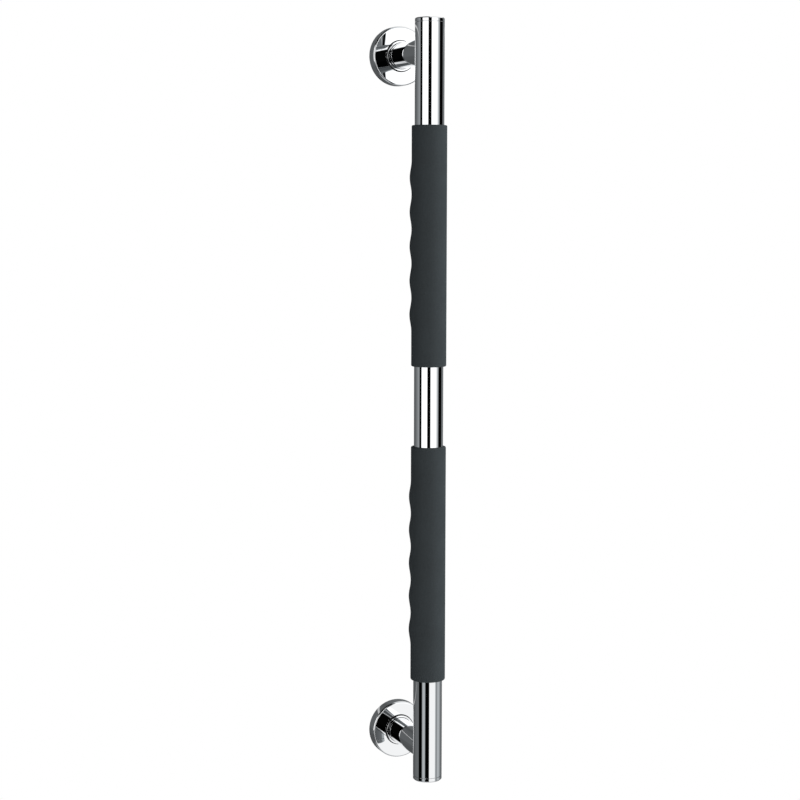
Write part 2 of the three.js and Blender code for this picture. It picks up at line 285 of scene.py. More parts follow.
def latheMarksGroup():
    # fine rings left by the turning tool, by radius on faces and by distance on barrels
    group, given, out = newGroup(
        "latheMarks", {"Radius": 0, "Along": 0, "Rings Per Metre": 4000}, ["Height", "Shade"])
    path = calculate(group, "ADD", given["Radius"], given["Along"])
    track = calculate(group, "MULTIPLY", path, given["Rings Per Metre"])
    wide = calculate(group, "MULTIPLY", track, 0.11)
    rings = []
    for along, detail, share in ((track, 2, 0.7), (wide, 1, 0.3)):
        inputs = {"W": along, "Scale": 1, "Detail": detail}
        pattern = addNode(group, "TexNoise", inputs, noise_dimensions="1D").outputs[0]
        rings.append(calculate(group, "MULTIPLY", pattern, share))
    height = calculate(group, "ADD", *rings)
    group.links.new(height, out["Height"])
    group.links.new(remap(group, height, 0.3, 0.7), out["Shade"])
    return group


def mouldedGrainGroup():
    # fine grain, pores and slow mottling of a moulded rubber
    group, given, out = newGroup(
        "mouldedGrain",
        {"Coordinates": None, "Grain Scale": 1500, "Mottle Scale": 60},
        ["Height", "Grain", "Mottle"])
    place = given["Coordinates"]
    grain = noise(group, place, given["Grain Scale"], 4, 0.65)
    cells = addNode(group, "TexVoronoi", {"Vector": place, "Scale": given["Grain Scale"]}, feature="F1")
    pores = remap(group, cells.outputs["Distance"], 0.08, 0.4)
    mottle = noise(group, place, given["Mottle Scale"], 4, 0.6)
    height = weighted(group, grain, 0.6, pores, 0.4)
    group.links.new(height, out["Height"])
    group.links.new(remap(group, grain, 0.3, 0.7), out["Grain"])
    group.links.new(remap(group, mottle, 0.3, 0.7), out["Mottle"])
    return group


polishWear = polishWearGroup()
latheMarks = latheMarksGroup()
mouldedGrain = mouldedGrainGroup()


def newMaterial(name, shown):
    material = bpy.data.materials.new(name)
    material.use_nodes = True
    material.diffuse_color = (*shown, 1)
    tree = material.node_tree
    shader = tree.nodes["Principled BSDF"]
    place = addNode(tree, "TexCoord").outputs["Object"]
    return material, tree, shader, place


def turnedPlace(tree, place, axis):
    # radius and distance round the nearer post's axis, or round the bar's own
    parts = addNode(tree, "SeparateXYZ", {"Vector": place}).outputs
    across = parts[0]
    if axis == "bar":
        other = calculate(tree, "SUBTRACT", parts[1], barPoint.y)
        distance = parts[2]
    else:
        nearest = calculate(tree, "ADD", parts[2], toUpper.z / 2 - wallPoint.z)
        nearest = calculate(tree, "SNAP", nearest, toUpper.z)
        other = calculate(tree, "SUBTRACT", parts[2], wallPoint.z)
        other = calculate(tree, "SUBTRACT", other, nearest)
        distance = parts[1]
    squares = weighted(tree, across, across, other, other)
    return calculate(tree, "SQRT", squares), distance


def bumpInto(tree, shader, height, strength, distance):
    bump = addNode(tree, "Bump", {"Height": height, "Strength": strength, "Distance": distance})
    tree.links.new(bump.outputs[0], shader.inputs["Normal"])


def chromeMaterial():
    look = {
        "clean": (0.915, 0.925, 0.935),
        "dusty": (0.80, 0.81, 0.815),
        "roughness": (0.003, 0.03),  # where it is clean, and where it is hazy
        "bump": 0.008,
        "bumpDepth": 0.02,
        "rippleScale": 90,
    }
    material, tree, shader, place = newMaterial("chromePlate", look["clean"])
    wear = useGroup(tree, polishWear, {
        "Coordinates": place, "Smudge Scale": 26, "Scratch Scale": 240, "Scratch Share": 0.5})
    marks = calculate(tree, "MAXIMUM", wear["Scratches"], wear["Dust"])
    paler = calculate(tree, "MULTIPLY", marks, 0.5)
    tree.links.new(tint(tree, paler, look["clean"], look["dusty"]), shader.inputs["Base Color"])
    haze = calculate(tree, "MAXIMUM", calculate(tree, "MULTIPLY", wear["Haze"], 0.35), wear["Scratches"])
    tree.links.new(remap(tree, haze, 0, 1, *look["roughness"]), shader.inputs["Roughness"])
    ripple = noise(tree, place, look["rippleScale"], 2)
    bumpInto(tree, shader, ripple, look["bump"], look["bumpDepth"] * mm)
    shader.inputs["Metallic"].default_value = 1
    return material


def softGripMaterial():
    look = {
        "dark": (0.034, 0.042, 0.046),
        "light": (0.054, 0.065, 0.071),
        "roughness": (0.62, 0.82),
        "grainScale": 1300,
        "mottleScale": 45,
        "specular": 0.3,
        "bump": 0.35,
        "bumpDepth": 0.12,
    }
    material, tree, shader, place = newMaterial("softGrip", look["light"])
    grain = useGroup(tree, mouldedGrain, {
        "Coordinates": place, "Grain Scale": look["grainScale"], "Mottle Scale": look["mottleScale"]})
    blend = weighted(tree, grain["Grain"], 0.55, grain["Mottle"], 0.45)
    tree.links.new(tint(tree, blend, look["dark"], look["light"]), shader.inputs["Base Color"])
    tree.links.new(remap(tree, grain["Mottle"], 0, 1, *look["roughness"]), shader.inputs["Roughness"])
    bumpInto(tree, shader, grain["Height"], look["bump"], look["bumpDepth"] * mm)
    shader.inputs["Specular IOR Level"].default_value = look["specular"]
    return material


def sealMaterial():
    look = {
        "dark": (0.006, 0.006, 0.007),
        "light": (0.018, 0.018, 0.019),
        "roughness": (0.42, 0.6),
        "grainScale": 3500,
        "mottleScale": 240,
        "bump": 0.2,
        "bumpDepth": 0.05,
    }
    material, tree, shader, place = newMaterial("sealRubber", look["light"])
    grain = useGroup(tree, mouldedGrain, {
        "Coordinates": place, "Grain Scale": look["grainScale"], "Mottle Scale": look["mottleScale"]})
    tree.links.new(tint(tree, grain["Mottle"], look["dark"], look["light"]), shader.inputs["Base Color"])
    tree.links.new(remap(tree, grain["Grain"], 0, 1, *look["roughness"]), shader.inputs["Roughness"])
    bumpInto(tree, shader, grain["Height"], look["bump"], look["bumpDepth"] * mm)
    return material


machinedLooks = {
    "boltSteel": {
        "axis": "post",
        "dark": (0.30, 0.30, 0.29),
        "light": (0.58, 0.58, 0.56),
        "roughness": (0.22, 0.45),
        "rings": 5200,
        "bump": 0.3,
    },
    "setScrewSteel": {
        "axis": "bar",
        "dark": (0.24, 0.24, 0.24),
        "light": (0.50, 0.50, 0.49),
        "roughness": (0.22, 0.45),
        "rings": 6000,
        "bump": 0.3,
    },
    "turnedBrass": {
        "axis": "bar",
        "dark": (0.46, 0.28, 0.09),
        "light": (0.83, 0.60, 0.24),
        "roughness": (0.16, 0.36),
        "rings": 3600,
        "bump": 0.4,
    },
    "castBracket": {
        "axis": "post",
        "dark": (0.26, 0.27, 0.275),
        "light": (0.52, 0.54, 0.55),
        "roughness": (0.32, 0.52),
        "rings": 2600,
        "bump": 0.5,
    },
}
machinedBumpDepth = 0.03


def machinedMaterial(name):
    # metal as it comes off the lathe, with stains and scratches
    look = machinedLooks[name]
    material, tree, shader, place = newMaterial(name, look["light"])
    radius, distance = turnedPlace(tree, place, look["axis"])
    lathe = useGroup(tree, latheMarks, {
        "Radius": radius, "Along": distance, "Rings Per Metre": look["rings"]})
    wear = useGroup(tree, polishWear, {
        "Coordinates": place, "Smudge Scale": 90, "Scratch Scale": 700, "Scratch Share": 0.8})
    stain = calculate(tree, "MULTIPLY", wear["Haze"], 0.45)
    shade = calculate(tree, "ADD", calculate(tree, "MULTIPLY", lathe["Shade"], 0.35), 0.65)
    shade = calculate(tree, "SUBTRACT", shade, stain)
    tree.links.new(tint(tree, shade, look["dark"], look["light"]), shader.inputs["Base Color"])
    rough = weighted(tree, wear["Haze"], 0.6, wear["Scratches"], 0.4)
    tree.links.new(remap(tree, rough, 0, 1, *look["roughness"]), shader.inputs["Roughness"])
    bumpInto(tree, shader, lathe["Height"], look["bump"], machinedBumpDepth * mm)
    shader.inputs["Metallic"].default_value = 1
    return material


chromePlate = chromeMaterial()
softGrip = softGripMaterial()
sealRubber = sealMaterial()
boltSteel = machinedMaterial("boltSteel")
setScrewSteel = machinedMaterial("setScrewSteel")
turnedBrass = machinedMaterial("turnedBrass")
castBracket = machinedMaterial("castBracket")
print("finishes made")

covers = {"lower": "lower_cover", "upper": "upper_cover"}  # bodies that the rosettes ride on
finishes = {
    "chrome_plate": chromePlate,
    "soft_grip": softGrip,
    "seal_rubber": sealRubber,
    "turned_brass": turnedBrass,
    "cast_bracket": castBracket,
}


def fit(piece, node, slotName, body="rail", material=None):
    # stands for its CAD node, rides on its body and takes the slot's finish
    piece.data.materials.clear()
    piece.data.materials.append(material or finishes[slotName])
    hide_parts(node)
    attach(piece, body)


tubeSizes = {
    "wall": 1.5,
    "edge": 0.17,  # rounding that makes the seam beside the cap
    "boreEdge": 0.1,
    "boltHole": 4.3,
    "holeReach": 20,
    "holeMargin": 9,  # rows of faces each side of a bolt hole, under the post
}


def buildTube():
    low = (tubeLow.z - barPoint.z) / mm
    high = (tubeHigh.z - barPoint.z) / mm
    upper = toUpper.z / mm
    bore = barRadius - tubeSizes["wall"]
    margin = tubeSizes["holeMargin"]
    rows = [-margin, margin, upper / 2, upper - margin, upper + margin]
    outline = [(bore, low, tubeSizes["boreEdge"]), (barRadius, low, tubeSizes["edge"])]
    outline += [(barRadius, row) for row in rows]
    outline += [(barRadius, high, tubeSizes["edge"]), (bore, high, tubeSizes["boreEdge"])]
    outline += [(bore, row) for row in reversed(rows)]
    tube = turnPiece("chrome_bar", outline, barPoint, upward, steps=224)
    holes = []
    for shift in (Vector(), toUpper):
        start = barPoint + shift
        end = start - toFront * tubeSizes["holeReach"] * mm
        holes.append(rod(tubeSizes["boltHole"], start, end, sides=64))
    cutWith(tube, holes)
    shadePiece(tube)
    fit(tube, "bar_tube", "chrome_plate")


buildTube()
print("tube made")

capSizes = {
    "head": 3.5,
    "chamfer": 0.8,
    "chamferRound": 0.3,
    "shoulderEdge": 0.17,
    "spigot": 9,
    "spigotRadius": 10.7,
    "tipRound": 0.6,
    "hollowRadius": 6.5,
    "hollowEdge": 0.3,
    "hollowCorner": 0.8,
    "grooveFloor": 9.0,
    "grooveHalf": 1.1,
    "grooveEdge": 0.1,
    "grooveCorner": 0.15,
    "ringInset": 3,
    "ringSection": 1.7,
    "ringRadius": 10.0,
}


def ringOutline(radius, distance, section, flash=0.035, points=24):
    # a seal's round section, with a thin parting line on its outside
    outline = []
    for i in range(points):
        angle = fullTurn * i / points
        size = section / 2 + (flash if i == 0 else 0)
        outline.append((radius + size * math.cos(angle), distance + size * math.sin(angle)))
    return outline


def turnOver(piece, centre):
    # half a turn about the side axis, kept in the vertices
    selectOnly(piece)
    bpy.ops.transform.rotate(value=math.pi, orient_axis="X", center_override=centre)
    bpy.ops.object.transform_apply(location=True, rotation=True, scale=True)


def buildCaps():
    s = capSizes
    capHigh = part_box("upper_end_cap")[1]
    face = Vector((0, barPoint.y, capHigh.z))
    shoulder = -s["head"]
    tip = shoulder - s["spigot"]
    ringPlace = shoulder - s["ringInset"]
    outline = [
        (0, 0),
        (barRadius - s["chamfer"], 0, s["chamferRound"]),
        (barRadius, -s["chamfer"], s["chamferRound"]),
        (barRadius, shoulder, s["shoulderEdge"]),
        (s["spigotRadius"], shoulder),
        (s["spigotRadius"], ringPlace + s["grooveHalf"], s["grooveEdge"]),
        (s["grooveFloor"], ringPlace + s["grooveHalf"], s["grooveCorner"]),
        (s["grooveFloor"], ringPlace - s["grooveHalf"], s["grooveCorner"]),
        (s["spigotRadius"], ringPlace - s["grooveHalf"], s["grooveEdge"]),
        (s["spigotRadius"], tip, s["tipRound"]),
        (s["hollowRadius"], tip, s["hollowEdge"]),
        (s["hollowRadius"], shoulder, s["hollowCorner"]),
        (0, shoulder),
    ]
    cap = turnPiece("upper_chrome_cap", outline, face, upward, steps=192)
    shadePiece(cap)
    sealOutline = ringOutline(s["ringRadius"], ringPlace, s["ringSection"])
    seal = turnPiece("upper_cap_seal", sealOutline, face, upward, steps=128)
    shadePiece(seal, sharpAngle=60)
    for piece, lowerName, node, slotName in (
        (cap, "lower_chrome_cap", "end_cap", "chrome_plate"),
        (seal, "lower_cap_seal", "cap_o_ring", "seal_rubber"),
    ):
        twin = copyTo(piece, lowerName, Vector())
        turnOver(twin, barMiddle)
        fit(piece, "upper_" + node, slotName)
        fit(twin, "lower_" + node, slotName)


buildCaps()
print("caps and their seals made")

gripSizes = {
    "bore": 12.7,
    "boreEdge": 0.2,
    "radius": 15,
    "edge": 1.0,
    "ridgeCount": 5,
    "ridgePitch": 29,
    "ridgeRise": 3.2,
    "ridgeShift": 2.6,
    "rowsPerRidge": 26,
    "sides": 144,
}


def ridgeStand(angle, height):
    # how far a finger ridge stands proud, by the angle from the wall side
    s = gripSizes
    if abs(height) >= s["ridgeCount"] * s["ridgePitch"] / 2:
        return 0
    ridgeRadius = s["radius"] + s["ridgeRise"] - s["ridgeShift"]
    sideways = s["ridgeShift"] * math.sin(angle)
    outline = s["ridgeShift"] * math.cos(angle) + math.sqrt(ridgeRadius ** 2 - sideways ** 2)
    swell = (1 + math.cos(fullTurn * height / s["ridgePitch"])) / 2
    return swell * max(0, outline - s["radius"])


def buildGrips():
    s = gripSizes
    gripLow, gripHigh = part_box("lower_grip")
    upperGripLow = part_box("upper_grip")[0]
    middle = Vector((0, barPoint.y, (gripLow.z + gripHigh.z) / 2))
    half = (gripHigh.z - gripLow.z) / 2 / mm
    zone = s["ridgeCount"] * s["ridgePitch"] / 2
    rows = s["ridgeCount"] * s["rowsPerRidge"]
    outline = [(s["bore"], -half, s["boreEdge"]), (s["radius"], -half, s["edge"])]
    outline += [(s["radius"], zone * (2 * i / rows - 1)) for i in range(rows + 1)]
    outline += [(s["radius"], half, s["edge"]), (s["bore"], half, s["boreEdge"])]
    grip = turnPiece("lower_soft_grip", outline, middle, upward, steps=s["sides"])
    slack = 0.01
    for vertex in grip.data.vertices:
        place = (vertex.co - middle) / mm
        radius = math.hypot(place.x, place.y)
        if radius > s["radius"] - slack:
            stretch = 1 + ridgeStand(math.atan2(place.x, place.y), place.z) / radius
            vertex.co.x = middle.x + place.x * stretch * mm
            vertex.co.y = middle.y + place.y * stretch * mm
    shadePiece(grip, sharpAngle=50)
    twin = copyTo(grip, "upper_soft_grip", Vector((0, 0, upperGripLow.z - gripLow.z)))
    fit(grip, "lower_grip", "soft_grip")
    fit(twin, "upper_grip", "soft_grip")


buildGrips()
print("grips made")

postSizes = {
    "radius": 11.25,
    "wallEdge": 0.5,
    "start": 5.3,
    "bore": 7.3,
    "boreEdge": 0.2,
    "boltBore": 4.3,
    "boltBoreEdge": 0.15,
    "seat": 40.0,
    "seatCorner": 0.3,
    "saddleGap": 0.1,
    "grubBore": 2.8,
    "grubDepth": 8.5,
}
upperEnd = "upper_"
lowerEnd = "lower_"


def fitBoth(piece, upperName, node, slotName, material=None, onCover=False):
    # the lower piece takes its place, and so does its copy at the upper fixing
    twin = copyTo(piece, upperName, toUpper)
    fit(piece, lowerEnd + node, slotName, covers["lower"] if onCover else "rail", material)
    fit(twin, upperEnd + node, slotName, covers["upper"] if onCover else "rail", material)
    return piece, twin


def buildPosts():
    s = postSizes
    outline = [
        (s["bore"], s["start"], s["boreEdge"]),
        (s["radius"], s["start"], s["wallEdge"]),
        (s["radius"], standoff),
        (s["boltBore"], standoff),
        (s["boltBore"], s["seat"], s["boltBoreEdge"]),
        (s["bore"], s["seat"], s["seatCorner"]),
    ]
    post = turnPiece("lower_chrome_post", outline, wallPoint, toFront, steps=192)
    reach = upward * 2 * s["radius"] * mm
    saddle = rod(barRadius + s["saddleGap"], barPoint - reach, barPoint + reach, sides=256)
    grubStart = wallPoint + toFront * s["grubDepth"] * mm
    grubHole = rod(s["grubBore"], grubStart, grubStart - reach, sides=64)
    cutWith(post, [saddle, grubHole])
    shadePiece(post)
    fitBoth(post, "upper_chrome_post", "post", "chrome_plate")


buildPosts()
print("posts made")

rosetteSizes = {
    "radius": 25.5,
    "rear": 0.3,
    "rearRound": 0.2,
    "face": 10.5,
    "wall": 1.5,
    "wallCorner": 0.8,
    "rimRound": 1.5,
    "dish": 0.25,  # face beside the groove, behind its outer edge
    "lipRadius": 13.0,
    "lipFront": 12.1,
    "lipRound": 0.2,
    "shadowRadius": 13.8,
    "shadowFloor": 9.6,
    "shadowEdge": 0.06,
    "shadowCorner": 0.1,
    "bore": 11.55,
    "boreEdge": 0.08,
    "boreRear": 0.2,
    "hubRadius": 14.95,
    "hubRear": 7.2,
    "hubEdge": 0.4,
    "hubCorner": 0.5,
    "grooveFloor": 12.55,
    "grooveCorner": 0.15,
    "ringPlace": 9.75,
    "ringHalf": 0.75,
    "ringRadius": 11.9,
    "ringSection": 1.0,
}


def paintGrooveShade(rosette, centre):
    # painted shade: the faces of the groove round the lip take the seals' dark finish, standing in for
    # the shadow down in that narrow gap
    s = rosetteSizes
    slack = 0.05
    rosette.data.materials.append(sealRubber)
    for face in rosette.data.polygons:
        place = (face.center - centre) / mm
        radius = math.hypot(place.x, place.z)
        beside = s["lipRadius"] - slack < radius < s["shadowRadius"] + slack
        if beside and s["shadowFloor"] - slack < -place.y < s["face"] - s["dish"] - 2 * slack:
            face.material_index = 1


def buildRosettes():
    s = rosetteSizes
    inside = s["face"] - s["wall"]
    rim = s["radius"] - s["wall"]
    outline = [
        (s["radius"], s["rear"], s["rearRound"]),
        (s["radius"], s["face"], s["rimRound"]),
        (s["shadowRadius"], s["face"] - s["dish"], s["shadowEdge"]),
        (s["shadowRadius"], s["shadowFloor"], s["shadowCorner"]),
        (s["lipRadius"], s["shadowFloor"], s["shadowCorner"]),
        (s["lipRadius"], s["lipFront"], s["lipRound"]),
        (s["bore"], s["lipFront"], s["boreEdge"]),
        (s["bore"], s["ringPlace"] + s["ringHalf"], s["boreEdge"]),
        (s["grooveFloor"], s["ringPlace"] + s["ringHalf"], s["grooveCorner"]),
        (s["grooveFloor"], s["ringPlace"] - s["ringHalf"], s["grooveCorner"]),
        (s["bore"], s["ringPlace"] - s["ringHalf"], s["boreEdge"]),
        (s["bore"], s["hubRear"], s["boreRear"]),
        (s["hubRadius"], s["hubRear"], s["hubEdge"]),
        (s["hubRadius"], inside, s["hubCorner"]),
        (rim, inside, s["wallCorner"]),
        (rim, s["rear"], s["rearRound"]),
    ]
    rosette = turnPiece("lower_chrome_rosette", outline, wallPoint, toFront, steps=224)
    shadePiece(rosette)
    pair = fitBoth(rosette, "upper_chrome_rosette", "rosette", "chrome_plate", onCover=True)
    # painted shade: the groove round each lip is given the seals' dark finish
    for piece, centre in zip(pair, (wallPoint, wallPoint + toUpper)):
        paintGrooveShade(piece, centre)
    sealOutline = ringOutline(s["ringRadius"], s["ringPlace"], s["ringSection"])
    seal = turnPiece("lower_rosette_seal", sealOutline, wallPoint, toFront, steps=128)
    shadePiece(seal, sharpAngle=60)
    fitBoth(seal, "upper_rosette_seal", "rosette_o_ring", "seal_rubber", onCover=True)


buildRosettes()
print("rosettes and their seals made")

plateSizes = {
    "radius": 23.7,
    "thickness": 5,
    "edge": 0.6,
    "rearEdge": 0.2,
    "spigotRadius": 7.0,
    "spigotFoot": 0.25,
    "spigotEnd": 24,
    "spigotTip": 0.6,
    "grooveFloor": 6.2,
    "grooveHalf": 1.6,
    "grooveSlope": 0.8,
    "grooveEdge": 0.1,
    "grooveCorner": 0.2,
    "screwCount": 3,
    "screwCircle": 17.475,
    "screwRadius": 2.75,
    "sinkRadius": 5.2,
    "cutPast": 1,  # how far a cutting tool stands out of the metal
}


def buildPlates():
    s = plateSizes
    groove = postSizes["grubDepth"]
    outline = [
        (0, 0),
        (s["radius"], 0, s["rearEdge"]),
        (s["radius"], s["thickness"], s["edge"]),
        (s["spigotRadius"], s["thickness"], s["spigotFoot"]),
        (s["spigotRadius"], groove - s["grooveHalf"] - s["grooveSlope"], s["grooveEdge"]),
        (s["grooveFloor"], groove - s["grooveHalf"], s["grooveCorner"]),
        (s["grooveFloor"], groove + s["grooveHalf"], s["grooveCorner"]),
        (s["spigotRadius"], groove + s["grooveHalf"] + s["grooveSlope"], s["grooveEdge"]),
        (s["spigotRadius"], s["spigotEnd"], s["spigotTip"]),
        (0, s["spigotEnd"]),
    ]
    plate = turnPiece("lower_wall_plate", outline, wallPoint, toFront, steps=160)
    sinkDepth = s["sinkRadius"] - s["screwRadius"]
    toolOutline = [
        (0, -s["cutPast"]),
        (s["screwRadius"], -s["cutPast"]),
        (s["screwRadius"], s["thickness"] - sinkDepth),
        (s["sinkRadius"], s["thickness"]),
        (s["sinkRadius"], s["thickness"] + s["cutPast"]),
        (0, s["thickness"] + s["cutPast"]),
    ]
    tool = turnPiece("countersink", toolOutline, wallPoint, toFront, steps=64)
    tools = []
    for i in range(s["screwCount"]):
        angle = math.pi / 2 + fullTurn * i / s["screwCount"]
        shift = Vector((math.cos(angle), 0, math.sin(angle))) * s["screwCircle"] * mm
        tools.append(copyTo(tool, "countersink_" + str(i), shift))
    bpy.data.objects.remove(tool)
    cutWith(plate, tools)
    shadePiece(plate)
    fitBoth(plate, "upper_wall_plate", "wall_bracket", "cast_bracket")


buildPlates()
print("wall plates made")

screwSizes = {
    "boltHead": 6.5,
    "headRear": 29.9,
    "headRearRound": 0.6,
    "headFront": 37.9,
    "headFrontRound": 0.3,
    "neckRound": 0.05,
    "boltRadius": 4,
    "boltRoot": 3.45,
    "boltPitch": 1.25,
    "threadStart": 56,
    "boltTip": 79,
    "boltLead": 1,  # end of the thread to the tip
    "columns": 96,  # round a screw; every other one of the bolt head's is pressed in
    "knurlDepth": 0.12,
    "knurlRear": 1.6,  # from the head's rear
    "knurlFront": 1,  # from the head's front
    "knurlSlack": 0.5,
    "boltFlats": 6,
    "boltSocket": 4,
    "grubRadius": 2.5,
    "grubRoot": 2.1,
    "grubPitch": 0.8,
    "grubTip": 6.5,
    "grubCone": 1.2,
    "grubConeRound": 0.15,
    "grubRear": 10.9,
    "grubLead": 0.4,
    "grubFlats": 2.5,
    "grubSocket": 1.8,
    "tipRound": 0.1,
    "cutPast": 1,
}


def buildScrews():
    s = screwSizes
    threadEnd = s["boltTip"] - s["boltLead"]
    knurlRear = s["headRear"] + s["knurlRear"]
    knurlFront = s["headFront"] - s["knurlFront"]
    outline = [
        (0, s["headRear"]),
        (s["boltHead"], s["headRear"], s["headRearRound"]),
        (s["boltHead"], knurlRear),
        (s["boltHead"], knurlFront),
        (s["boltHead"], s["headFront"], s["headFrontRound"]),
        (s["boltRadius"], s["headFront"], s["neckRound"]),
    ]
    outline += threadRings(s["boltRadius"], s["boltRoot"], s["threadStart"], threadEnd, s["boltPitch"])
    outline += [(s["boltRoot"], s["boltTip"], s["tipRound"]), (0, s["boltTip"])]
    bolt = turnPiece("lower_socket_bolt", outline, wallPoint, toFront, steps=s["columns"])
    barrel = s["boltHead"] - 0.05
    for vertex in bolt.data.vertices:
        # a straight knurl on the head's barrel
        place = (vertex.co - wallPoint) / mm
        column = round(math.atan2(place.z, place.x) * s["columns"] / fullTurn)
        onKnurl = knurlRear - s["knurlSlack"] < -place.y < knurlFront + s["knurlSlack"]
        if onKnurl and column % 2 and math.hypot(place.x, place.z) > barrel:
            vertex.co.x -= place.x / s["boltHead"] * s["knurlDepth"] * mm
            vertex.co.z -= place.z / s["boltHead"] * s["knurlDepth"] * mm
    mouth = wallPoint + toFront * (s["headRear"] - s["cutPast"]) * mm
    floor = wallPoint + toFront * (s["headRear"] + s["boltSocket"]) * mm
    cutWith(bolt, [rod(s["boltFlats"] / math.sqrt(3), mouth, floor, sides=6)])
    shadePiece(bolt)
    fitBoth(bolt, "upper_socket_bolt", "post_bolt", "screw_steel", boltSteel)

    below = -upward
    centre = wallPoint + toFront * postSizes["grubDepth"] * mm
    outline = [
        (0, s["grubTip"]),
        (s["grubRadius"] - s["grubCone"], s["grubTip"], s["grubConeRound"]),
    ]
    threadStart = s["grubTip"] + s["grubCone"]
    outline += threadRings(
        s["grubRadius"], s["grubRoot"], threadStart, s["grubRear"] - s["grubLead"], s["grubPitch"])
    outline += [(s["grubRoot"], s["grubRear"], s["tipRound"]), (0, s["grubRear"])]
    grub = turnPiece("lower_set_screw", outline, centre, below, steps=s["columns"])
    mouth = centre + below * (s["grubRear"] + s["cutPast"]) * mm
    floor = centre + below * (s["grubRear"] - s["grubSocket"]) * mm
    cutWith(grub, [rod(s["grubFlats"] / math.sqrt(3), mouth, floor, sides=6)])
    shadePiece(grub)
    fitBoth(grub, "upper_set_screw", "grub_screw", "screw_steel", setScrewSteel)


buildScrews()
print("bolts and set screws made")

washerSizes = {
    "inner": 4.3,
    "outer": 6.3,
    "rear": 38.1,
    "front": 39.5,
    "innerEdge": 0.12,
    "outerEdge": 0.2,
    "split": 0.9,
    "splitReach": 4,
    "spring": 0.25,
}
nutSizes = {
    "radius": 10.7,
    "half": 13,
    "chamfer": 0.8,
    "edge": 0.15,
    "bore": 4.15,
    "boreCone": 0.9,
    "threadRoot": 4.55,
    "pitch": 1.25,
    "boreDepth": 6,
    "threadDepth": 4.5,
    "threadPast": 0.2,
    "cutPast": 1,
}


def buildWasher():
    s = washerSizes
    outline = [
        (s["inner"], s["rear"], s["innerEdge"]),
        (s["outer"], s["rear"], s["outerEdge"]),
        (s["outer"], s["front"], s["outerEdge"]),
        (s["inner"], s["front"], s["innerEdge"]),
    ]
    washer = turnPiece("lower_spring_washer", outline, wallPoint, toFront, steps=120)
    middle = wallPoint + toFront * (s["rear"] + s["front"]) / 2 * mm
    selectNothing()
    gapPlace = middle + Vector((s["inner"] + s["outer"], 0, 0)) / 2 * mm
    bpy.ops.mesh.primitive_cube_add(size=mm, location=gapPlace)
    slit = bpy.context.object
    slit.scale = (s["splitReach"], s["splitReach"], s["split"])
    bpy.ops.object.transform_apply(location=False, rotation=True, scale=True)
    cutWith(washer, [slit])
    for vertex in washer.data.vertices:
        angle = math.atan2(vertex.co.z - wallPoint.z, vertex.co.x) % fullTurn
        vertex.co.y -= s["spring"] * angle / fullTurn * mm
    shadePiece(washer)
    fitBoth(washer, "upper_spring_washer", "lock_washer", "screw_steel", boltSteel)


def buildNutBar():
    s = nutSizes
    outline = [
        (0, -s["half"]),
        (s["radius"] - s["chamfer"], -s["half"], s["edge"]),
        (s["radius"], s["chamfer"] - s["half"], s["edge"]),
        (s["radius"], s["half"] - s["chamfer"], s["edge"]),
        (s["radius"] - s["chamfer"], s["half"], s["edge"]),
        (0, s["half"]),
    ]
    nutBar = turnPiece("lower_brass_nut_bar", outline, barPoint, upward, steps=128)
    boreOutline = [
        (0, s["boreDepth"]),
        (s["bore"] - s["boreCone"], s["boreDepth"]),
        (s["bore"], s["boreDepth"] - s["boreCone"]),
    ]
    boreOutline += threadRings(
        s["threadRoot"], s["bore"], s["threadDepth"], -s["radius"] - s["threadPast"], s["pitch"])
    toolEnd = -barRadius - s["cutPast"]
    boreOutline += [(s["threadRoot"], toolEnd), (0, toolEnd)]
    cutWith(nutBar, [turnPiece("tap", boreOutline, barPoint, toFront, steps=72)])
    shadePiece(nutBar)
    fitBoth(nutBar, "upper_brass_nut_bar", "tube_insert", "turned_brass")


buildWasher()
buildNutBar()
print("washers and nut bars made")

cameraSizes = {
    "lens": 83.44,
    "sensor": 36,
    "side": 22.435,  # degrees to the left of straight ahead
    "down": 6.024,  # degrees below the horizon
    "roll": 0.103,
    "distance": 1.585655,
    "right": -0.024408,  # shifts of the camera from the line to the bar's middle
    "above": 0.00541,
    "nearest": 0.05,
}


def addCamera():
    s = cameraSizes
    side, down, roll = (math.radians(s[key]) for key in ("side", "down", "roll"))
    ahead = Vector((math.sin(side) * math.cos(down), math.cos(side) * math.cos(down), -math.sin(down)))
    level = Vector((math.cos(side), -math.sin(side), 0))
    above = level.cross(ahead)
    right = math.cos(roll) * level + math.sin(roll) * above
    top = math.cos(roll) * above - math.sin(roll) * level
    place = barMiddle + right * s["right"] + top * s["above"] - ahead * s["distance"]
    selectNothing()
    bpy.ops.object.camera_add(location=place)
    camera = bpy.context.object
    camera.rotation_euler = Matrix((right, top, -ahead)).transposed().to_euler()
    camera.data.lens = s["lens"]
    camera.data.sensor_width = s["sensor"]
    camera.data.clip_start = s["nearest"]
    bpy.context.scene.camera = camera


addCamera()

